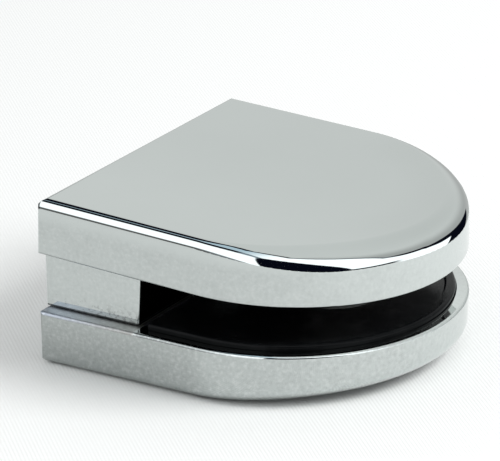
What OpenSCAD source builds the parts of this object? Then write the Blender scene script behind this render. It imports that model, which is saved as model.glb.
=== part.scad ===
// Flat-backed glass panel clamp with a round front.
// Two die-cast jaws hold a glass panel between two rubber gaskets. The spine that keeps the
// jaws apart is cast in one with the upper jaw, and two screws from below pull the lower jaw up.
// A post bolt passes through the spine; its head lies in a pocket between the two castings.
//
// Frame: +X out of the flat back towards the glass, +Y across, +Z up.
// The origin is the centre of the post bolt hole, on the flat back.

/* [Body] */
// Width across the two straight sides
body_w = 50; // [46:0.5:60]
// Depth from the flat back to the round front
body_d = 50.6; // [48:0.1:65]
// Height of the lower jaw
lower_h = 8.2; // [7.8:0.1:12]
// Height of the upper jaw
upper_h = 8.0; // [6:0.1:12]
// Slot height between the bare jaws, at the flat back
slot_h = 8.55; // [8:0.05:12]
// How far the upper jaw is toed in towards the lower one, in degrees
toe_in = 2.4; // [0:0.1:3]

/* [Casting shape] */
// Draft of the outer walls, in degrees
wall_draft = 2; // [0:0.1:4]
// Rounding of the outer edges along the straight sides and the back
side_edge_r = 1.35; // [0.5:0.05:1.8]
// Rounding of the outer edges round the front
front_edge_r = 3.35; // [2:0.05:3.6]
// How far round the front this rounding takes to reach its full size, in degrees
blend_turn = 50; // [30:5:80]
// Rounding of the rims that face the slot
rim_r = 0.45; // [0.1:0.05:0.8]
// Rounding of the upright corners at the flat back
corner_r = 0.8; // [0.3:0.05:2]

/* [Spine] */
// Depth of the spine, from the flat back forwards
spine_d = 15.6; // [15:0.1:20]
// How far the spine stands in from each side of the jaws
spine_inset = 2.3; // [1:0.1:4]
// Draft of the spine's front face, in degrees
spine_draft = 1; // [0:0.1:2]
// Rounding of the spine's upright front edges
spine_edge_r = 0.4; // [0.2:0.05:1]
// Gap left between the spine and the lower jaw
seat_gap = 0.15; // [0.05:0.01:0.4]

/* [Gaskets] */
// Width of the metal rim round each gasket
rim_w = 1.7; // [1:0.1:3]
// Depth of the pocket that holds a gasket
pocket_depth = 1.5; // [0.8:0.1:2]
// Height of a gasket's bead above the metal rim
gasket_proud = 0.9; // [0.4:0.1:1]
// Width of the bead along a gasket's edge
bead_w = 1.6; // [1:0.1:3]
// Height of the bead above the gasket's field
bead_h = 0.3; // [0.1:0.05:0.6]
// Rounding of a gasket's exposed edge
gasket_edge_r = 0.5; // [0.2:0.05:0.8]
// Gap between a gasket and the wall of its pocket
gasket_clear = 0.15; // [0.05:0.01:0.3]
// Distance from the spine to the gaskets' pockets
pocket_back = 1.2; // [0.5:0.1:3]
// Diameter of the round boss that keys each gasket
boss_d = 12; // [6:0.5:16]

/* [Clamping screws] */
// Diameter of the screws
screw_d = 5; // [4:0.5:6]
// How far the screws stand in from each side
screw_inset = 11; // [9:0.1:13]
// Distance from the flat back to the screws
screw_x = 7.8; // [6.5:0.1:9]
// Length of thread in the upper casting
thread_l = 10; // [7:0.5:12]
// Depth left free past the end of each screw
thread_spare = 1.5; // [0.5:0.1:2]
// Diameter of the screw heads
head_d = 8.5; // [7.5:0.1:9.5]
// Height of the screw heads
head_h = 5; // [3:0.1:5.2]
// Chamfer round the outer end of the heads
head_chamfer = 0.5; // [0.2:0.1:0.8]
// Chamfer at the tips of the screws
tip_chamfer = 0.6; // [0.2:0.1:1]
// How far the heads lie inside the lower jaw
head_sink = 0.4; // [0:0.1:1]
// Size across the flats of the hexagon sockets
socket_af = 4; // [3:0.5:5]
// Depth of the hexagon sockets
socket_depth = 2.5; // [1:0.1:2.8]
// Radial clearance of the screws in their threads
thread_clear = 0.05; // [0.02:0.01:0.09]
// Radial clearance of the screws in the lower jaw
shank_clear = 0.25; // [0.1:0.05:0.4]
// Radial clearance of the heads in their counterbores
head_clear = 0.35; // [0.15:0.05:0.6]

/* [Post bolt] */
// Diameter of the hole for the post bolt
bolt_hole_d = 6.6; // [5.5:0.1:7]
// Diameter of the pocket for the bolt's head
bolt_head_d = 10.6; // [9:0.1:12]
// Depth of the pocket for the bolt's head
bolt_head_h = 6.4; // [4:0.1:7]

/* [Hidden] */
$fn = 96;

half_w = body_w / 2;
arc_x = body_d - half_w;               // centre of the round front
rim_z = slot_h / 2;                    // the rims at the flat back lie at +-rim_z
seat_z = head_sink + head_h - lower_h - rim_z;  // face that the screw heads bear on
pocket_x = spine_d + pocket_back;      // back wall of the gaskets' pockets
pocket_r = half_w - rim_w;             // radius of the pockets' round front
gasket_r = pocket_r - gasket_clear;
gasket_x = pocket_x + gasket_clear;
gasket_h = pocket_depth + gasket_proud;
boss_x = (pocket_x + arc_x + pocket_r) / 2;
spine_half_w = half_w - spine_inset;
screw_y = half_w - screw_inset;        // the screws stand at +-screw_y
screw_l = seat_gap - rim_z - seat_z + thread_l;  // length of a screw under its head
over = 1;                              // how far a cutting shape runs past the solid it cuts
edge_steps = 64;                       // steps of the outer rounding round the front
edge_facets = 8;                       // facets across it
chrome = [0.76, 0.78, 0.78];
rubber = [0.06, 0.06, 0.065];
steel = [0.62, 0.63, 0.65];

// Where the centre of an outer rounding r lies, out from the middle of a jaw of height h
function round_x(h, r) = half_w - (h - r - rim_r) * tan(wall_draft) - r / cos(wall_draft);

// Rounding of the outer edge at a turn of 0 to 180 degrees round the front: it grows away
// from either straight side.
function edge_r(turn) = side_edge_r + (front_edge_r - side_edge_r)
    * pow(sin(90 * min(1, turn / blend_turn, (180 - turn) / blend_turn)), 1.5);

// Half of a jaw's cross-section, before its outer edge is rounded. x runs out from the
// middle, y up from the rim: small round at the rim, then the drafted wall.
module sharp_section(h) {
    polygon([
        [0, 0], [half_w - rim_r, 0], [half_w - rim_r, rim_r], [half_w, rim_r],
        [half_w - (h - rim_r) * tan(wall_draft), h], [0, h]
    ]);
    translate([half_w - rim_r, rim_r]) circle(rim_r);
}

// A point on the rounding; past either end of its arc the end chord runs straight on.
function edge_point(h, r, step) =
    let (inner = max(0, min(edge_facets, step)))
    inner == step
        ? let (angle = wall_draft + (90 - wall_draft) * step / edge_facets)
            [round_x(h, r) + r * cos(angle), h - r + r * sin(angle)]
        : 2 * edge_point(h, r, inner) - edge_point(h, r, 2 * inner - step);

// Outline of what a rounding r takes off the outer edge, in cross-section.
function edge_waste(h, r) = [
    [half_w + over, h + over],
    [half_w + over, edge_point(h, r, -1).y],
    edge_point(h, r, -1),
    for (step = [1 : edge_facets - 1]) edge_point(h, r, step),
    edge_point(h, r, edge_facets + 1),
    [edge_point(h, r, edge_facets + 1).x, h + over]
];

// Rounds the outer edge from the back along one side, round the front and along the other:
// the waste's outline, swept along the edge while its rounding grows and shrinks.
module outer_edge_cutter(h) {
    stations = [
        [-arc_x - over, 0],
        for (i = [0 : edge_steps]) [0, 180 * i / edge_steps],
        [-arc_x - over, 180]
    ];
    ring = edge_facets + 4;
    last = len(stations) - 1;
    polyhedron(
        points = [for (station = stations) for (p = edge_waste(h, edge_r(station[1])))
            [arc_x + station[0] + p.x * sin(station[1]), -p.x * cos(station[1]), p.y]],
        faces = concat(
            [for (i = [0 : last - 1]) for (j = [0 : ring - 1]) for (half = [0, 1])
                let (a = i * ring + j, b = i * ring + (j + 1) % ring)
                    half == 0 ? [a, a + ring, b + ring] : [a, b + ring, b]],
            [for (j = [1 : ring - 2]) [0, j, j + 1]],
            [for (j = [1 : ring - 2]) [last * ring, last * ring + j + 1, last * ring + j]]
        )
    );
}

// Cuts a round of radius r along a straight edge, square to the edge.
module edge_cutter(r) {
    difference() {
        translate([-over, -over]) square(r + over);
        translate([r, r]) circle(r);
    }
}

// Solid jaw on its rim face: flat back at x = 0, straight sides, round front.
module jaw_blank(h) {
    difference() {
        union() {
            translate([arc_x, 0, 0]) rotate_extrude() sharp_section(h);
            rotate([90, 0, 90]) linear_extrude(arc_x) {
                sharp_section(h);
                mirror([1, 0]) sharp_section(h);
            }
        }
        outer_edge_cutter(h);
        translate([-body_w, -body_w, -over]) cube([body_w, 2 * body_w, h + 2 * over]);
        // outer and rim edges along the flat back
        translate([0, 0, h]) mirror([0, 0, 1]) rotate([90, 0, 0])
            linear_extrude(body_w + 2 * over, center = true) edge_cutter(side_edge_r);
        rotate([90, 0, 0]) linear_extrude(body_w + 2 * over, center = true) edge_cutter(rim_r);
        // upright corners
        for (side = [0, 1]) mirror([0, side, 0])
            translate([0, -half_w, -over]) linear_extrude(h + 2 * over) edge_cutter(corner_r);
    }
}

// Pocket for a gasket, cut into the rim face, round the boss that keys the gasket.
module gasket_pocket() {
    translate([0, 0, -over]) linear_extrude(pocket_depth + over) difference() {
        intersection() {
            union() {
                translate([arc_x, 0]) circle(pocket_r);
                translate([0, -pocket_r]) square([arc_x, 2 * pocket_r]);
            }
            translate([pocket_x, -half_w]) square([body_d, body_w]);
        }
        translate([boss_x, 0]) circle(d = boss_d);
    }
}

module at_screws() {
    for (side = [-1, 1]) translate([screw_x, side * screw_y, 0]) children();
}

// Places what stands on the upper rim face, toed in about the flat back.
module toed_in() {
    translate([0, 0, rim_z]) rotate([0, toe_in, 0]) children();
}

// Places what stands on the lower rim face, upside down.
module on_lower_rim() {
    translate([0, 0, -rim_z]) mirror([0, 0, 1]) children();
}

// Spine hanging under the upper jaw, with rounded front edges.
module spine() {
    translate([spine_d, 0, 0]) rotate([0, spine_draft, 0])
        translate([-spine_d, 0, -slot_h - 2 * over]) linear_extrude(slot_h + 3 * over) {
            translate([-over, -spine_half_w])
                square([spine_d + over - spine_edge_r, 2 * spine_half_w]);
            translate([-over, spine_edge_r - spine_half_w])
                square([spine_d + over, 2 * (spine_half_w - spine_edge_r)]);
            for (side = [-1, 1])
                translate([spine_d - spine_edge_r, side * (spine_half_w - spine_edge_r)])
                    circle(spine_edge_r);
        }
}

// Pocket round the post bolt's head, shared by both castings.
module bolt_head_pocket() {
    translate([spine_d - bolt_head_h, 0, 0]) rotate([0, 90, 0])
        cylinder(d = bolt_head_d, h = bolt_head_h);
}

module upper_jaw() color(chrome) difference() {
    intersection() {
        toed_in() {
            jaw_blank(upper_h);
            spine();
        }
        // flush with the flat back, and square to the screws at the seat
        translate([0, -body_w, seat_gap - rim_z]) cube([2 * body_d, 2 * body_w, body_w]);
    }
    toed_in() gasket_pocket();
    translate([-over, 0, 0]) rotate([0, 90, 0]) cylinder(d = bolt_hole_d, h = spine_d);
    bolt_head_pocket();
    at_screws() translate([0, 0, -rim_z - over])
        cylinder(r = screw_d / 2 + thread_clear, h = over + seat_gap + thread_l + thread_spare);
}

module lower_jaw() color(chrome) difference() {
    on_lower_rim() jaw_blank(lower_h);
    on_lower_rim() gasket_pocket();
    bolt_head_pocket();
    at_screws() {
        translate([0, 0, seat_z - over])
            cylinder(r = screw_d / 2 + shank_clear, h = lower_h + 2 * over);
        translate([0, 0, seat_z - head_h - head_sink - over])
            cylinder(r = head_d / 2 + head_clear, h = head_h + head_sink + over);
    }
}

// Half of a gasket's cross-section: a bead with a rounded edge round a lower field.
module gasket_section() {
    polygon([
        [0, 0], [gasket_r, 0], [gasket_r, gasket_h - gasket_edge_r],
        [gasket_r - gasket_edge_r, gasket_h - gasket_edge_r],
        [gasket_r - gasket_edge_r, gasket_h], [gasket_r - bead_w + bead_h, gasket_h],
        [gasket_r - bead_w, gasket_h - bead_h], [0, gasket_h - bead_h]
    ]);
    translate([gasket_r - gasket_edge_r, gasket_h - gasket_edge_r]) circle(gasket_edge_r);
}

// Gasket standing on the floor of its pocket, exposed face up.
module gasket() color(rubber) difference() {
    union() {
        intersection() {
            translate([arc_x, 0, 0]) rotate_extrude() gasket_section();
            translate([arc_x, -body_w, -over]) cube([body_d, 2 * body_w, gasket_h + 2 * over]);
        }
        translate([gasket_x, 0, 0]) rotate([90, 0, 90]) linear_extrude(arc_x - gasket_x) {
            gasket_section();
            mirror([1, 0]) gasket_section();
        }
    }
    translate([boss_x, 0, -over])
        cylinder(d = boss_d + 2 * gasket_clear, h = gasket_h + 2 * over);
}

module upper_gasket() toed_in() translate([0, 0, pocket_depth]) mirror([0, 0, 1]) gasket();

module lower_gasket() on_lower_rim() translate([0, 0, pocket_depth]) mirror([0, 0, 1]) gasket();

// Socket head screw with its head's bearing face at z = 0, pointing up.
module clamp_screw() color(steel) difference() {
    union() {
        translate([0, 0, -head_h])
            cylinder(d1 = head_d - 2 * head_chamfer, d2 = head_d, h = head_chamfer);
        translate([0, 0, head_chamfer - head_h]) cylinder(d = head_d, h = head_h - head_chamfer);
        translate([0, 0, -head_h / 2])
            cylinder(d = screw_d, h = head_h / 2 + screw_l - tip_chamfer);
        translate([0, 0, screw_l - tip_chamfer])
            cylinder(d1 = screw_d, d2 = screw_d - 2 * tip_chamfer, h = tip_chamfer);
    }
    translate([0, 0, -head_h - over])
        cylinder(d = socket_af / cos(30), h = socket_depth + over, $fn = 6);
}

module screw_left() translate([screw_x, -screw_y, seat_z]) clamp_screw();

module screw_right() translate([screw_x, screw_y, seat_z]) clamp_screw();

upper_jaw();
lower_jaw();
upper_gasket();
lower_gasket();
screw_left();
screw_right();
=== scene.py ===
"""Looks of a flat-backed glass panel clamp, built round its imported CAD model."""

import math

import bmesh
import bpy
from mathutils import Matrix, Quaternion, Vector


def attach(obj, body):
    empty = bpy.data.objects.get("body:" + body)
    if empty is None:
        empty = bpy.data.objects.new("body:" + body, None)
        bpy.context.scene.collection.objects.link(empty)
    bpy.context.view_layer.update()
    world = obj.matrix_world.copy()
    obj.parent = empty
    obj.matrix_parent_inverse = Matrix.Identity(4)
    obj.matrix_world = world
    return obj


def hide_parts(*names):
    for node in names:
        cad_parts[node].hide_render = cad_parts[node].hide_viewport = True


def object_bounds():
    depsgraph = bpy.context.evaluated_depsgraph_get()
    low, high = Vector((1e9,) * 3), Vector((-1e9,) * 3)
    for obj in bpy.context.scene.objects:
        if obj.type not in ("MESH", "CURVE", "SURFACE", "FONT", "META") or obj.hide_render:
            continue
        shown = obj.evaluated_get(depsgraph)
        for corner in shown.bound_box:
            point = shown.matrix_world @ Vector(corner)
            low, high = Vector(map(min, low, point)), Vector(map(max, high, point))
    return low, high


bl_info = {
    "name": "Glass Panel Clamp",
    "version": (1, 0, 0),
    "blender": (4, 5, 0),
    "location": "3D View > Sidebar > Glass Clamp",
    "description": "Dresses a flat-backed glass clamp in chrome, rubber and steel",
    "category": "Object",
}

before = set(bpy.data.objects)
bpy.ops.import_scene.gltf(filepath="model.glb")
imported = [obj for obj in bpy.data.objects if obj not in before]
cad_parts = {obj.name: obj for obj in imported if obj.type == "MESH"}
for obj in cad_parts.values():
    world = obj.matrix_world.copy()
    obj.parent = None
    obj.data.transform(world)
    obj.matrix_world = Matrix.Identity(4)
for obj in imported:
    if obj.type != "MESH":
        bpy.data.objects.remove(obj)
CAD_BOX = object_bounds()
MM = 0.001
SAME_POINT = 0.002 * MM

# Driving sizes of the clamp, as in its CAD model.
HALF_W = 25.0 * MM             # half the width of the jaws
ARC_X = 25.6 * MM              # centre of the round front, from the flat back
UPPER_H = 8.0 * MM
LOWER_H = 8.2 * MM
RIM_Z = 4.275 * MM             # the jaws' rims at the flat back lie at +-RIM_Z
RIM_R = 0.45 * MM
TOE_IN = math.radians(2.4)     # lean of the upper jaw
DRAFT = math.radians(2.0)      # of the outer walls
SIDE_EDGE_R = 1.35 * MM        # rounding of the outer edges along the sides
FRONT_EDGE_R = 3.35 * MM       # and round the front
BLEND_TURN = 50.0              # degrees round the front over which the rounding grows
BLEND_POWER = 1.5
BLOCK_D = 15.6 * MM            # the block between the jaws, from the flat back
BLOCK_HALF_W = 22.7 * MM


# ---------------------------------------------------------------- shader helpers


class Value:
    """A socket that can be used in arithmetic; each operation adds its Math node."""

    def __init__(self, nodes, socket):
        self.nodes = nodes
        self.socket = socket

    def _math(self, operation, *terms):
        return self.nodes.math(operation, *terms)

    def __add__(self, other):
        return self._math("ADD", self, other)

    __radd__ = __add__

    def __sub__(self, other):
        return self._math("SUBTRACT", self, other)

    def __rsub__(self, other):
        return self._math("SUBTRACT", other, self)

    def __mul__(self, other):
        return self._math("MULTIPLY", self, other)

    __rmul__ = __mul__

    def __truediv__(self, other):
        return self._math("DIVIDE", self, other)

    def __rtruediv__(self, other):
        return self._math("DIVIDE", other, self)

    def __pow__(self, other):
        return self._math("POWER", self, other)

    def __neg__(self):
        return self._math("MULTIPLY", self, -1.0)


class Nodes:
    """Builds the nodes of one material or world."""

    def __init__(self, tree):
        self.tree = tree
        tree.nodes.clear()

    def add(self, kind, settings=None, inputs=None):
        """Adds one node: its settings first, then the values or links of its sockets."""
        node = self.tree.nodes.new(kind)
        for name, value in (settings or {}).items():
            setattr(node, name, value)
        for name, value in (inputs or {}).items():
            socket = node.inputs[name]
            if isinstance(value, Value):
                self.tree.links.new(value.socket, socket)
            elif isinstance(value, bpy.types.NodeSocket):
                self.tree.links.new(value, socket)
            else:
                socket.default_value = value
        return node

    def value(self, node, output=0):
        return Value(self, node.outputs[output])

    def math(self, operation, *terms):
        return self.value(self.add("ShaderNodeMath", {"operation": operation}, dict(enumerate(terms))))

    def step(self, value, low, high, to_low=0.0, to_high=1.0):
        """Rises smoothly from to_low at low to to_high at high."""
        node = self.add("ShaderNodeMapRange", {"interpolation_type": "SMOOTHSTEP"}, {
            "Value": value, "From Min": low, "From Max": high, "To Min": to_low, "To Max": to_high})
        return self.value(node)

    def mix(self, factor, a, b):
        """Mixes two colours."""
        node = self.add("ShaderNodeMix", {"data_type": "RGBA"}, {0: factor, 6: a, 7: b})
        return self.value(node, 2)

    def xyz(self, vector):
        node = self.add("ShaderNodeSeparateXYZ", None, {0: vector})
        return [self.value(node, i) for i in range(3)]

    def noise(self, vector, scale, detail=2.0, roughness=0.5):
        node = self.add("ShaderNodeTexNoise", None, {
            "Vector": vector, "Scale": scale, "Detail": detail, "Roughness": roughness})
        return self.value(node, 0)


def grey(level, tint=(1.0, 1.0, 1.0)):
    return (level * tint[0], level * tint[1], level * tint[2], 1.0)


def tinted(colour, level):
    return tuple(min(1.0, level * c) for c in colour) + (1.0,)


def new_material(name):
    material = bpy.data.materials.new(name)
    material.use_nodes = True
    return material, Nodes(material.node_tree)


def dress(names, material):
    """Gives CAD nodes a finish in place of the frame's plain one."""
    for name in names:
        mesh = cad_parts[name].data
        mesh.materials.clear()
        mesh.materials.append(material)


# ---------------------------------------------------------------- castings

ON_SKIN = 0.06 * MM            # how near a point on the outer skin lies to its true surface
FACET_TILT = math.radians(12.0)   # how far a facet of the skin leans from it at most
TURN_STEP = 0.5                # degrees either side, for the growth of the rounding

# The underside of the lower jaw isn't quite level: it rises towards the round front.
POCKET_FLOOR = 3.0 * MM        # below this, the jaw keeps its height everywhere
THINNER_BACK = 0.35 * MM
THINNER_FRONT = 1.75 * MM      # and this much more at REFERENCE_X
REFERENCE_X = 50.0 * MM
RISE_POWER = 3.0


def edge_rounding(turn):
    """Rounding of the outer edge at a turn round the front, in degrees from the side."""
    share = min(1.0, max(0.0, turn / BLEND_TURN))
    return SIDE_EDGE_R + (FRONT_EDGE_R - SIDE_EDGE_R) * math.sin(math.pi / 2 * share) ** BLEND_POWER


def skin_normal(point, height):
    """True normal of a jaw's outer skin at a point, or None off the skin.

    The jaw stands on its rim face: x from the flat back, z up from the rim.
    """
    x, y, z = point
    if x > ARC_X:
        out = Vector((x - ARC_X, y, 0.0))
        turn = math.degrees(math.atan2(x - ARC_X, abs(y)))
    else:
        out = Vector((0.0, y, 0.0))
        turn = 0.0
    reach = out.length
    if reach < SAME_POINT:
        return Vector((0.0, 0.0, 1.0)) if abs(z - height) < ON_SKIN else None
    out /= reach
    r = edge_rounding(turn)
    centre = HALF_W - (height - r - RIM_R) * math.tan(DRAFT) - r / math.cos(DRAFT)
    base = height - r
    if reach <= centre:
        return Vector((0.0, 0.0, 1.0)) if abs(z - height) < ON_SKIN else None
    if z < base + r * math.sin(DRAFT):
        wall = HALF_W - (z - RIM_R) * math.tan(DRAFT)
        if z < RIM_R - SAME_POINT or abs(reach - wall) > ON_SKIN:
            return None
        return out * math.cos(DRAFT) + Vector((0.0, 0.0, math.sin(DRAFT)))
    across, up = reach - centre, z - base
    distance = math.hypot(across, up)
    if abs(distance - r) > ON_SKIN:
        return None
    across, up = across / distance, up / distance
    normal = out * across + Vector((0.0, 0.0, up))
    # where the rounding grows along the edge, its surface leans that way
    change = edge_rounding(turn + TURN_STEP) - edge_rounding(turn - TURN_STEP)
    growth = change / (2.0 * math.radians(TURN_STEP) * reach)
    lean = growth * (1.0 + across * (math.tan(DRAFT) - 1.0 / math.cos(DRAFT)) - up)
    onwards = Vector((abs(out.y), -out.x * math.copysign(1.0, out.y), 0.0))
    return (normal - onwards * lean).normalized()


def unmoved(point):
    """Leaves a jaw as it is: nothing moves and nothing leans."""
    return 0.0, 0.0, 0.0


def rising(point):
    """How far a point of the lower jaw moves towards the rim, and how fast that grows with x and z."""
    x, _, z = point
    share = max(0.0, (z - POCKET_FLOOR) / (LOWER_H - POCKET_FLOOR))
    along = max(0.0, x) / REFERENCE_X
    thinner = THINNER_BACK + THINNER_FRONT * along ** RISE_POWER
    steeper = THINNER_FRONT * RISE_POWER * along ** (RISE_POWER - 1.0) / REFERENCE_X
    per_height = thinner / (LOWER_H - POCKET_FLOOR) if share > 0.0 else 0.0
    return share * thinner, share * steeper, per_height


def polished_copy(node_name, name, body, material, height, to_jaw, shift=unmoved):
    """A copy of a CAD casting whose faceted outer skin shades as the true smooth surface."""
    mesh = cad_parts[node_name].data.copy()
    mesh.name = name
    mesh.materials.clear()
    mesh.materials.append(material)
    from_jaw = to_jaw.to_3x3().inverted()
    normals = [corner.vector.copy() for corner in mesh.corner_normals]
    for face in mesh.polygons:
        found = [skin_normal(to_jaw @ mesh.vertices[v].co, height) for v in face.vertices]
        if None in found:
            continue
        for loop, vertex, normal in zip(face.loop_indices, face.vertices, found):
            if (from_jaw @ normal).angle(face.normal, math.pi) > FACET_TILT:
                continue
            _, by_x, by_z = shift(to_jaw @ mesh.vertices[vertex].co)
            stretch = 1.0 / (1.0 - by_z)
            leaned = Vector((normal.x + by_x * stretch * normal.z, normal.y, normal.z * stretch))
            normals[loop] = (from_jaw @ leaned).normalized()
    for face in mesh.polygons:
        face.use_smooth = True
    back = to_jaw.inverted()
    for vertex in mesh.vertices:
        place = to_jaw @ vertex.co
        place.z -= shift(place)[0]
        vertex.co = back @ place
    mesh.normals_split_custom_set(normals)
    casting = bpy.data.objects.new(name, mesh)
    bpy.context.scene.collection.objects.link(casting)
    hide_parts(node_name)
    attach(casting, body)
    return casting


# ---------------------------------------------------------------- settings


class ClampChrome(bpy.types.PropertyGroup):
    colour: bpy.props.FloatVectorProperty(
        name="Chrome colour", description="Colour that the plating mirrors with",
        subtype="COLOR", size=3, default=(0.565, 0.60, 0.59), min=0.0, max=1.0)
    roughness: bpy.props.FloatProperty(
        name="Roughness", description="Roughness of the polished plating",
        subtype="FACTOR", default=0.035, min=0.0, max=1.0)


class ClampRubber(bpy.types.PropertyGroup):
    colour: bpy.props.FloatVectorProperty(
        name="Rubber colour", description="Colour of the gaskets",
        subtype="COLOR", size=3, default=(0.004, 0.0045, 0.005), min=0.0, max=1.0)
    roughness: bpy.props.FloatProperty(
        name="Roughness", description="Roughness of the moulded rubber",
        subtype="FACTOR", default=0.16, min=0.0, max=1.0)


class ClampSteel(bpy.types.PropertyGroup):
    colour: bpy.props.FloatVectorProperty(
        name="Steel colour", description="Colour of the plated screws",
        subtype="COLOR", size=3, default=(0.50, 0.51, 0.52), min=0.0, max=1.0)
    roughness: bpy.props.FloatProperty(
        name="Roughness", description="Roughness of the plated screws",
        subtype="FACTOR", default=0.26, min=0.0, max=1.0)


class ClampStudio(bpy.types.PropertyGroup):
    lens: bpy.props.FloatProperty(
        name="Lens", description="Focal length of the camera on a 36 mm wide sensor, in mm",
        default=252.0, min=20.0)
    floor_colour: bpy.props.FloatVectorProperty(
        name="Floor colour", description="Colour of the pale floor",
        subtype="COLOR", size=3, default=(0.90, 0.915, 0.91), min=0.0, max=1.0)
    ambient: bpy.props.FloatProperty(
        name="Ambient light", description="Strength of the soft light from all round",
        default=0.70, min=0.0)
    key_power: bpy.props.FloatProperty(
        name="Key light", description="Power of the soft lamp at the front right",
        subtype="POWER", unit="POWER", default=4.7, min=0.0)


# ---------------------------------------------------------------- materials

CAP_ROUNDING = 10.5 * MM                 # height inside the cap's outer rounding, between walls and top
LEDGE_LIGHT_BACK = (0.47, 0.51, 0.57, 1.0)      # painted reflected light on the lower jaw's rough ledge, at the flat back
LEDGE_LIGHT_BLOCK = (0.41, 0.41, 0.395, 1.0)    # and next to the front of the block
WHITE = grey(1.0)
BARE_ROUGHNESS = 0.42


def about(place, start, full):
    """Where a finish or painted shade starts along an axis and where it is full, in mm from a place."""
    return place + start * MM, place + full * MM


class Plating:
    """The chrome of both castings: places on them, and its colour as each finish or painted shade is laid
    over the last.
    """

    def __init__(self, nodes, finish):
        self.nodes = nodes
        self.finish = finish
        self.position = nodes.add("ShaderNodeTexCoord").outputs["Object"]
        self.x, self.y, self.z = nodes.xyz(self.position)
        self.height = self.z + math.tan(TOE_IN) * self.x     # square to the leaning cap
        self.wall = nodes.step(self.height, *about(CAP_ROUNDING, 0.0, -2.0))
        self.lower = nodes.step(self.z, *about(-RIM_Z, 0.075, -0.325))
        self.rim_edge = nodes.step(self.z, *about(-RIM_Z, -0.505, -0.375))
        self.ledge = self.rim_edge * nodes.step(self.z, *about(-RIM_Z, 0.075, 0.025))
        self.beside_block = nodes.step(self.x, *about(BLOCK_D, 0.9, 0.4))
        self.colour = nodes.mix(self.noise(0.09, 3.0), self.tint(0.97), self.tint(1.03))

    def noise(self, per_mm, detail, roughness=0.5):
        return self.nodes.noise(self.position, per_mm / MM, detail, roughness)

    def tint(self, level):
        return tinted(self.finish.colour, level)

    def lay(self, share, colour):
        self.colour = self.nodes.mix(share, self.colour, colour)


def paint_top_shade(plating):
    """Painted shade in the flat top's reflection: darker overall, more so towards the right and near its
    edge at the round front.
    """
    step, x, y = plating.nodes.step, plating.x, plating.y
    past_arc = plating.nodes.math("MAXIMUM", x - ARC_X, 0.0)
    reach = plating.nodes.math("SQRT", past_arc ** 2.0 + y * y)
    top = step(plating.height, *about(CAP_ROUNDING, 0.0, 1.6))
    to_right = step(y, -20.0 * MM, 10.0 * MM)
    at_front = step(x, *about(ARC_X, -1.6, 8.4)) * step(y, -18.0 * MM, -2.0 * MM)
    near_edge = step(reach, 14.0 * MM, 21.5 * MM) * at_front
    plating.lay(top * (0.25 + 0.30 * to_right + 0.18 * near_edge), plating.tint(0.82))


def mottle_and_shade_walls(plating):
    """Random mottle on the walls; painted shade in their reflection on the left, most of all low down by
    the flat back, and a painted brighter reflection on the right.
    """
    step, x, y = plating.nodes.step, plating.x, plating.y
    mottle = plating.noise(0.42, 4.0, 0.6)
    plating.lay(plating.wall * step(mottle, 0.40, 0.66), plating.tint(0.955))
    low_at_back = plating.lower * step(x, 23.5 * MM, 29.0 * MM, 1.0, 0.15)
    left = plating.wall * step(y, *about(-HALF_W, 10.0, 0.0))
    plating.lay(left * (0.45 + 0.55 * low_at_back), plating.tint(0.78))
    right = plating.wall * step(y, -17.0 * MM, 2.0 * MM) * step(y, 20.0 * MM, 4.0 * MM)
    plating.lay(right, plating.tint(1.11))


def roughen_ledge_and_paint_its_light(plating):
    """Leaves the lower jaw's ledge beside the block and its slot edge on the right unpolished, and paints
    reflected light on that ledge, bluish at the flat back and greyer towards the front of the block.

    Returns the roughness that they add.
    """
    step, x, y, z = plating.nodes.step, plating.x, plating.y, plating.z
    rough_lit_ledge = plating.ledge * step(x, *about(BLOCK_D, 0.4, -0.2))
    plating.lay(rough_lit_ledge, plating.nodes.mix(step(x, 0.0, 15.0 * MM), LEDGE_LIGHT_BACK, LEDGE_LIGHT_BLOCK))
    blunt = plating.rim_edge * step(z, *about(-RIM_Z, -0.005, -0.065)) * step(y, -17.0 * MM, -9.0 * MM)
    return BARE_ROUGHNESS * plating.nodes.math("MAXIMUM", rough_lit_ledge, blunt)


def pit_foot_of_block(plating):
    """Pinholes in the plating at the foot of the block, more of them towards the slot."""
    step, x, z = plating.nodes.step, plating.x, plating.z
    specks = plating.noise(1.5, 2.0, 0.6)
    foot = step(z, -1.4 * MM, -4.2 * MM) * step(z, *about(-RIM_Z, -0.025, 0.075)) * plating.beside_block
    pitted = foot * step(specks - 0.14 * step(x, 0.0, 16.0 * MM), 0.38, 0.32)
    plating.lay(0.6 * pitted, plating.tint(0.25))


def paint_seam_shade(plating):
    """Painted shade in the seam at the foot of the block, and on the block's face inside the slot, which
    lies in the slot's dark.
    """
    step, x, z = plating.nodes.step, plating.x, plating.z
    at_foot = step(z, *about(-RIM_Z, 0.395, 0.315)) * step(z, *about(-RIM_Z, -0.025, 0.075))
    seam = at_foot * plating.beside_block
    face = step(x, *about(BLOCK_D, -0.6, -0.3)) * step(x, *about(BLOCK_D, 1.0, 0.8))
    across = step(plating.nodes.math("ABSOLUTE", plating.y), *about(BLOCK_HALF_W, -0.5, -0.9))
    in_slot = step(z, *about(-RIM_Z, -0.125, 0.075)) * step(z, *about(RIM_Z, 0.325, 0.125))
    plating.lay(0.9 * plating.nodes.math("MAXIMUM", seam, face * across * in_slot), plating.tint(0.04))


def shade_slot_edge(plating):
    """Painted shade on the lower jaw's ledge just past the block, and painted shade that dims the highlight
    on its rim edge beside the block.
    """
    step, x = plating.nodes.step, plating.x
    past_block = step(x, *about(BLOCK_D, 0.0, 0.6)) * step(x, 34.0 * MM, 24.0 * MM)
    plating.lay(0.75 * plating.ledge * past_block, plating.tint(0.30))
    edge = plating.rim_edge * step(plating.z, *about(-RIM_Z, 0.015, -0.045))
    plating.lay(0.25 * edge * step(x, *about(BLOCK_D, 0.4, -0.6)), plating.tint(0.0))


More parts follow.
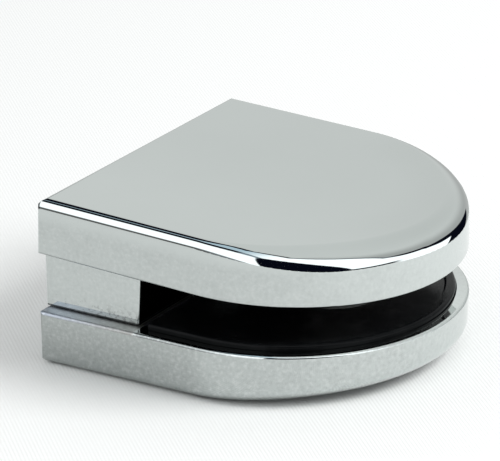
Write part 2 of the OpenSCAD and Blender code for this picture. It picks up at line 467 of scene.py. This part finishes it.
def paint_cap_corner_reflection(plating):
    """A painted dark reflection: the dark line where the cap's long edge turns round the corner at the flat
    back.
    """
    step, x = plating.nodes.step, plating.x
    line = step(x, 0.35 * MM, 0.45 * MM) * step(x, 0.80 * MM, 0.70 * MM)
    on_edge = step(plating.height, *about(CAP_ROUNDING, 0.3, 0.5))
    on_left = step(plating.y, *about(-HALF_W, 2.5, 1.5))
    plating.lay(0.9 * line * on_edge * on_left, plating.tint(0.04))


def paint_underside_shade(plating):
    """Painted shade on the underside of the lower jaw, which also deepens the floor's shadow beneath it;
    the underside rises towards the front.
    """
    above_back = plating.z - THINNER_FRONT * (plating.x / REFERENCE_X) ** RISE_POWER
    underside = plating.nodes.step(above_back, *about(CAD_BOX[0].z + THINNER_BACK, 0.125, 0.045))
    plating.lay(0.85 * underside, plating.tint(0.20))


def grain_walls(plating):
    """Fine light and dark unevenness of the walls, stronger on the lower jaw and on the left."""
    step = plating.nodes.step
    grain = plating.noise(1.8, 3.0, 0.6)
    uneven = plating.wall * (0.55 + 0.45 * plating.lower) * step(plating.y, -12.0 * MM, 4.0 * MM, 1.0, 0.55)
    plating.lay(0.09 * uneven * step(grain, 0.50, 0.68), plating.tint(0.0))
    plating.lay(0.14 * uneven * step(grain, 0.50, 0.32), WHITE)


def chrome_material(finish):
    material, nodes = new_material("polished_chrome")
    plating = Plating(nodes, finish)
    paint_top_shade(plating)
    mottle_and_shade_walls(plating)
    bare_roughness = roughen_ledge_and_paint_its_light(plating)
    pit_foot_of_block(plating)
    paint_seam_shade(plating)
    shade_slot_edge(plating)
    paint_cap_corner_reflection(plating)
    paint_underside_shade(plating)
    grain_walls(plating)
    haze = plating.noise(0.22, 4.0, 0.6)
    waviness = plating.noise(0.12, 1.0)
    bump = nodes.add("ShaderNodeBump", None, {
        "Strength": 0.02, "Distance": 0.2 * MM, "Height": waviness})
    shader = nodes.add("ShaderNodeBsdfPrincipled", None, {
        "Base Color": plating.colour, "Metallic": 1.0,
        "Roughness": finish.roughness * (0.6 + 0.8 * haze) + bare_roughness,
        "Normal": nodes.value(bump)})
    nodes.add("ShaderNodeOutputMaterial", None, {"Surface": shader.outputs[0]})
    return material


def rubber_material(finish):
    """Smooth moulded rubber with a slight grey bloom."""
    material, nodes = new_material("black_rubber")
    position = nodes.add("ShaderNodeTexCoord").outputs["Object"]
    bloom = nodes.step(nodes.noise(position, 0.26 / MM, 5.0, 0.6), 0.45, 0.75)
    grain = nodes.noise(position, 2.2 / MM, 2.0)
    bump = nodes.add("ShaderNodeBump", None, {
        "Strength": 0.08, "Distance": 0.05 * MM, "Height": grain})
    greyed = [c + 0.003 for c in finish.colour]
    shader = nodes.add("ShaderNodeBsdfPrincipled", None, {
        "Base Color": nodes.mix(bloom, tinted(finish.colour, 1.0), tinted(greyed, 1.0)),
        "Roughness": finish.roughness + 0.12 * bloom,
        "Specular IOR Level": 0.06,
        "Normal": nodes.value(bump)})
    nodes.add("ShaderNodeOutputMaterial", None, {"Surface": shader.outputs[0]})
    return material


def steel_material(finish):
    """Plain plated steel, slightly spotted."""
    material, nodes = new_material("plated_steel")
    position = nodes.add("ShaderNodeTexCoord").outputs["Object"]
    spots = nodes.noise(position, 0.7 / MM, 4.0, 0.6)
    shader = nodes.add("ShaderNodeBsdfPrincipled", None, {
        "Base Color": nodes.mix(spots, tinted(finish.colour, 0.85), tinted(finish.colour, 1.1)),
        "Metallic": 1.0,
        "Roughness": finish.roughness + 0.14 * spots})
    nodes.add("ShaderNodeOutputMaterial", None, {"Surface": shader.outputs[0]})
    return material


# ---------------------------------------------------------------- studio

# What polished metal mirrors. The room is drawn on a sky map, in degrees: the zenith is at
# (0, 0), +X is to the right, +Y is up, and the horizon is the circle of radius 90.
TENT = grey(0.95, (0.98, 1.0, 0.99))
SHADED_TENT = grey(0.58, (0.98, 1.0, 0.99))
SOFTBOX = (1.9, 1.95, 2.0, 1.0)
DARK_ROOM = (0.003, 0.004, 0.010, 1.0)
LIT_CLOTH = (0.72, 0.92, 1.06, 1.0)
DIM_CLOTH = (0.30, 0.36, 0.42, 1.0)
HEM_SHADE = (0.26, 0.28, 0.30, 1.0)
TABLE_EDGE = grey(0.16)
BACKDROP = grey(0.96, (0.985, 1.0, 0.995))

HEM_LEFT = ((-24.0, 24.0), (0.0, -11.5))      # edges of the tent overhead
HEM_FRONT = ((0.0, -11.5), (24.0, -24.0))
HEM_RIGHT = ((24.0, -23.5), (66.0, 2.0))
HOOP_CENTRE = (18.0, 22.0)                    # round end of the tent
HOOP_RADIUS = 56.0
BEHIND_CENTRE = (-9.0, 8.0)                   # and its hem behind the clamp
BEHIND_RADIUS = 88.5
LINING_EDGE = ((-27.6, 0.0), (16.4, -47.0))   # below the lit cloth at the tent's hem
RIGHT_BOX_EDGE = ((16.4, -48.0), (95.0, -32.0))
RIGHT_BOX_END = ((0.0, 0.0), (50.0, 90.0))
LEFT_BOX_TOP = ((-30.0, -16.0), (17.0, -50.0))
LEFT_BOX_SIDE = ((14.0, -49.0), (22.5, -91.0))
LEFT_BOX_FOOT = ((-52.0, -70.0), (5.0, -96.0))
TABLE_LEVEL = (94.5, 96.5)                    # angle from the zenith where the table hides the room
HEM_WIDTH = 3.5                               # on the left; wider elsewhere
SHARP = (-0.8, 0.8)                           # how softly an edge of the room shows
SOFT = (-1.0, 1.0)


class SkyMap:
    """Where a mirrored ray points on the sky map, and masks made of straight edges there."""

    def __init__(self, nodes):
        self.nodes = nodes
        x, y, z = nodes.xyz(nodes.add("ShaderNodeTexCoord").outputs["Generated"])
        sideways = nodes.math("SQRT", x * x + y * y + 1e-9)     # never quite 0, to divide by
        self.zenith_angle = nodes.math("ARCCOSINE", z) * math.degrees(1.0)
        self.right = self.zenith_angle * x / sideways
        self.up = self.zenith_angle * y / sideways

    def left_of(self, edge):
        """Distance to the left of a line, as seen when going along it."""
        (x1, y1), (x2, y2) = edge
        length = math.hypot(x2 - x1, y2 - y1)
        across, along = (y1 - y2) / length, (x2 - x1) / length
        return self.right * across + self.up * along - (x1 * across + y1 * along)

    def outside(self, centre, radius):
        """Distance outside a circle."""
        x, y = self.right - centre[0], self.up - centre[1]
        return self.nodes.math("SQRT", x * x + y * y) - radius


def tent_and_hem(nodes, sky):
    """Colour of the tent with the shaded hem round it, and a mask of what lies beyond the hem."""
    step = nodes.step
    to_behind = nodes.math("MAXIMUM", step(sky.up, 44.0, 52.0), step(sky.right, 30.0, 12.0))
    past_hoop = (1.0 - to_behind) * sky.outside(HOOP_CENTRE, HOOP_RADIUS)
    past_hoop = past_hoop + to_behind * sky.outside(BEHIND_CENTRE, BEHIND_RADIUS)
    past_right = nodes.math("MAXIMUM", past_hoop, -sky.left_of(HEM_RIGHT))
    past_left = nodes.math("MAXIMUM", -sky.left_of(HEM_LEFT), -sky.left_of(HEM_FRONT))
    past = nodes.math("MAXIMUM", past_right, past_left)
    at_left = step(sky.right, 30.0, 20.0)
    wider = step(sky.up, -5.0, 30.0, 0.0, 2.5) + step(sky.up, 50.0, 75.0, 0.0, 3.0)
    width = HEM_WIDTH + (1.0 - at_left) * wider
    no_hem = step(sky.up, 60.0, 66.0) * step(sky.right, 0.0, -3.0)
    hem = nodes.mix(step(sky.up, 4.0, 22.0), HEM_SHADE, DARK_ROOM)
    hem = nodes.mix(at_left, hem, DARK_ROOM)
    tent = nodes.mix(step(past_hoop, -26.0, -4.0), TENT, SHADED_TENT)
    seen = nodes.mix(step(past, *SHARP) * (1.0 - no_hem), tent, hem)
    return seen, step(past - width, *SHARP) * (1.0 - no_hem)


def cloth_and_right_box(nodes, sky):
    """Colour beyond the hem: lit cloth that runs into the right softbox, and the dark gap before it."""
    step = nodes.step
    above = step(sky.left_of(LINING_EDGE), *SOFT) * step(sky.left_of(RIGHT_BOX_EDGE), *SOFT)
    past_end = step(sky.left_of(RIGHT_BOX_END), *SOFT) * step(sky.up, 0.0, 10.0)
    box = nodes.mix(step(sky.right, -4.0, 24.0), LIT_CLOTH, SOFTBOX)
    box = nodes.mix(step(sky.zenith_angle, *TABLE_LEVEL) * step(sky.up, 30.0, 10.0), box, DARK_ROOM)
    dim = step(sky.right, -1.0, 3.0) * step(sky.right, 18.0, 14.0) * step(sky.up, 10.0, 0.0)
    gap = nodes.mix(dim, DARK_ROOM, DIM_CLOTH)
    return nodes.mix(above * (1.0 - past_end), gap, box)


def left_box(nodes, sky):
    """Colour of the left softbox, which ends at the edge of the table, and its mask."""
    step = nodes.step
    table_edge = nodes.mix(step(sky.right, -45.0, -20.0), TABLE_EDGE, HEM_SHADE)
    box = nodes.mix(step(sky.left_of(LEFT_BOX_FOOT), 3.0, -5.0), SOFTBOX, table_edge)
    inside = step(sky.left_of(LEFT_BOX_TOP), 0.0, -5.0) * step(sky.left_of(LEFT_BOX_SIDE), 1.0, -1.0)
    return box, inside


def mirrored_room(nodes):
    """Colour of the tent, the two softboxes and the dark room between them."""
    sky = SkyMap(nodes)
    seen, beyond = tent_and_hem(nodes, sky)
    seen = nodes.mix(beyond, seen, cloth_and_right_box(nodes, sky))
    box, in_box = left_box(nodes, sky)
    return nodes.mix(in_box, seen, box)


def studio_world(studio):
    world = bpy.data.worlds.new("studio")
    world.use_nodes = True
    nodes = Nodes(world.node_tree)
    path = nodes.add("ShaderNodeLightPath")
    ambient = grey(studio.ambient)
    colour = nodes.mix(nodes.value(path, "Is Glossy Ray"), ambient, mirrored_room(nodes))
    colour = nodes.mix(nodes.value(path, "Is Camera Ray"), colour, BACKDROP)
    background = nodes.add("ShaderNodeBackground", None, {"Color": colour, "Strength": 1.0})
    nodes.add("ShaderNodeOutputWorld", None, {"Surface": background.outputs[0]})
    bpy.context.scene.world = world


FLOOR_HALF = 3.0
RIB_PITCH = 0.503 * MM         # of the twill cloth on the floor
RIB_TURN = math.radians(46.4)
RIB_HEIGHT = 0.06 * MM
RIB_SHADE = 0.985              # of the cloth between two ribs
RIB_WANDER = 2.0               # how unevenly the ribs run, in radians
# Metal mirrors the cloth only up to these limits; past them it mirrors the room.
CLOTH_CENTRE = (50.0 * MM, -20.0 * MM)
CLOTH_REACH = (103.0 * MM, 107.0 * MM)
CLOTH_TO_BACK = 0.85           # towards the back, distances count less
CLOTH_EDGE_TURN = math.radians(60.0)
CLOTH_EDGE = (74.5 * MM, 76.5 * MM)


def cloth_ribs(nodes, position, x, y):
    """Height of the fine twill ribs that run across the cloth."""
    along = (math.cos(RIB_TURN) * x + math.sin(RIB_TURN) * y) * (2.0 * math.pi / RIB_PITCH)
    return nodes.math("SINE", along + RIB_WANDER * nodes.noise(position, 0.06 / MM, 2.0))


def past_cloth(nodes, x, y):
    """A mask of the floor where mirrored rays pass through it."""
    centre_x, centre_y = CLOTH_CENTRE
    sideways = nodes.math("MAXIMUM", x - centre_x, CLOTH_TO_BACK * (centre_x - x))
    reach = nodes.math("SQRT", sideways * sideways + (y - centre_y) * (y - centre_y))
    to_edge = math.cos(CLOTH_EDGE_TURN) * x + math.sin(CLOTH_EDGE_TURN) * y
    past = nodes.math("MAXIMUM", nodes.step(reach, *CLOTH_REACH), nodes.step(to_edge, *CLOTH_EDGE))
    return past * nodes.value(nodes.add("ShaderNodeLightPath"), "Is Glossy Ray")


def floor_material(studio):
    """Pale ribbed cloth."""
    material, nodes = new_material("pale_floor")
    position = nodes.add("ShaderNodeTexCoord").outputs["Object"]
    x, y, _ = nodes.xyz(position)
    rib = cloth_ribs(nodes, position, x, y)
    bump = nodes.add("ShaderNodeBump", None, {"Strength": 0.18, "Distance": RIB_HEIGHT, "Height": rib})
    between_ribs = tinted(studio.floor_colour, RIB_SHADE)
    colour = nodes.mix(0.5 + 0.5 * rib, between_ribs, tinted(studio.floor_colour, 1.0))
    cloth = nodes.add("ShaderNodeBsdfDiffuse", None, {"Color": colour, "Normal": nodes.value(bump)})
    clear = nodes.add("ShaderNodeBsdfTransparent")
    shader = nodes.add("ShaderNodeMixShader", None, {
        0: past_cloth(nodes, x, y), 1: cloth.outputs[0], 2: clear.outputs[0]})
    nodes.add("ShaderNodeOutputMaterial", None, {"Surface": shader.outputs[0]})
    return material


def add_floor(studio):
    mesh = bpy.data.meshes.new("floor")
    under_clamp = CAD_BOX[0].z + THINNER_BACK - SAME_POINT
    work = bmesh.new()
    bmesh.ops.create_grid(work, x_segments=1, y_segments=1, size=FLOOR_HALF,
                          matrix=Matrix.Translation((0.0, 0.0, under_clamp)))
    work.to_mesh(mesh)
    work.free()
    floor = bpy.data.objects.new("floor", mesh)
    bpy.context.scene.collection.objects.link(floor)
    mesh.materials.append(floor_material(studio))


KEY_PLACE = (0.60, 0.19, 0.52)
KEY_AIM = (0.060, 0.0, 0.0)
KEY_SIZE = 0.38


def add_key_lamp(studio):
    """A soft square lamp above the front right. Metal mirrors the room's softboxes in its place."""
    data = bpy.data.lights.new("key", "AREA")
    data.shape = "SQUARE"
    data.size = KEY_SIZE
    data.energy = studio.key_power
    lamp = bpy.data.objects.new("key", data)
    lamp.location = KEY_PLACE
    lamp.rotation_euler = (Vector(KEY_AIM) - lamp.location).to_track_quat("-Z", "Y").to_euler()
    lamp.visible_glossy = False
    bpy.context.scene.collection.objects.link(lamp)


CAMERA_PLACE = (0.26283, -0.38733, 0.18161)
CAMERA_AIM = (0.015189, 0.006145, 0.0)      # where its axis crosses the level of the slot's middle
CAMERA_ROLL = math.radians(-0.958)
SENSOR_WIDTH = 36.0


def add_camera(studio):
    data = bpy.data.cameras.new("camera")
    data.lens = studio.lens
    data.sensor_width = SENSOR_WIDTH
    data.clip_start = 0.01
    camera = bpy.data.objects.new("camera", data)
    aimed = (Vector(CAMERA_AIM) - Vector(CAMERA_PLACE)).to_track_quat("-Z", "Y")
    turned = aimed @ Quaternion((0.0, 0.0, 1.0), CAMERA_ROLL)
    camera.matrix_world = Matrix.Translation(CAMERA_PLACE) @ turned.to_matrix().to_4x4()
    bpy.context.scene.collection.objects.link(camera)
    bpy.context.scene.camera = camera


# ---------------------------------------------------------------- operators


class ClampCastings(bpy.types.Operator):
    """Finish both castings in polished chrome"""
    bl_idname = "clamp.castings"
    bl_label = "Chrome Castings"

    def execute(self, context):
        chrome = chrome_material(context.scene.clamp_chrome)
        on_upper = (Matrix.Translation((0.0, 0.0, RIM_Z)) @ Matrix.Rotation(TOE_IN, 4, "Y")).inverted()
        on_lower = Matrix.Diagonal((1.0, 1.0, -1.0, 1.0)) @ Matrix.Translation((0.0, 0.0, RIM_Z))
        polished_copy("upper_jaw", "upper_casting", "upper", chrome, UPPER_H, on_upper)
        polished_copy("lower_jaw", "lower_casting", "lower", chrome, LOWER_H, on_lower, rising)
        return {"FINISHED"}


class ClampGaskets(bpy.types.Operator):
    """Finish both gaskets in black rubber"""
    bl_idname = "clamp.gaskets"
    bl_label = "Rubber Gaskets"

    def execute(self, context):
        dress(("upper_gasket", "lower_gasket"), rubber_material(context.scene.clamp_rubber))
        return {"FINISHED"}


class ClampScrews(bpy.types.Operator):
    """Finish both clamping screws in plated steel"""
    bl_idname = "clamp.screws"
    bl_label = "Clamping Screws"

    def execute(self, context):
        dress(("screw_left", "screw_right"), steel_material(context.scene.clamp_steel))
        return {"FINISHED"}


class ClampStage(bpy.types.Operator):
    """Build the mirrored room, the floor, the lamp and the camera"""
    bl_idname = "clamp.stage"
    bl_label = "Studio"

    def execute(self, context):
        studio = context.scene.clamp_studio
        studio_world(studio)
        add_floor(studio)
        add_key_lamp(studio)
        add_camera(studio)
        return {"FINISHED"}


class ClampPanel(bpy.types.Panel):
    bl_idname = "VIEW3D_PT_glass_clamp"
    bl_label = "Glass Clamp"
    bl_space_type = "VIEW_3D"
    bl_region_type = "UI"
    bl_category = "Glass Clamp"

    def draw(self, context):
        for operator, settings in STEPS:
            self.layout.operator(operator.bl_idname)
            group = getattr(context.scene, settings)
            for name in group.__annotations__:
                self.layout.prop(group, name)


SETTINGS = {
    "clamp_chrome": ClampChrome,
    "clamp_rubber": ClampRubber,
    "clamp_steel": ClampSteel,
    "clamp_studio": ClampStudio,
}
STEPS = (
    (ClampCastings, "clamp_chrome"),
    (ClampGaskets, "clamp_rubber"),
    (ClampScrews, "clamp_steel"),
    (ClampStage, "clamp_studio"),
)


def register():
    for name, group in SETTINGS.items():
        bpy.utils.register_class(group)
        setattr(bpy.types.Scene, name, bpy.props.PointerProperty(type=group))
    for operator, _ in STEPS:
        bpy.utils.register_class(operator)
    bpy.utils.register_class(ClampPanel)


def unregister():
    bpy.utils.unregister_class(ClampPanel)
    for operator, _ in reversed(STEPS):
        bpy.utils.unregister_class(operator)
    for name, group in SETTINGS.items():
        delattr(bpy.types.Scene, name)
        bpy.utils.unregister_class(group)


def main():
    register()
    bpy.context.scene.view_settings.view_transform = "Standard"
    bpy.ops.clamp.castings()
    bpy.ops.clamp.gaskets()
    bpy.ops.clamp.screws()
    bpy.ops.clamp.stage()


if __name__ == "__main__":
    main()
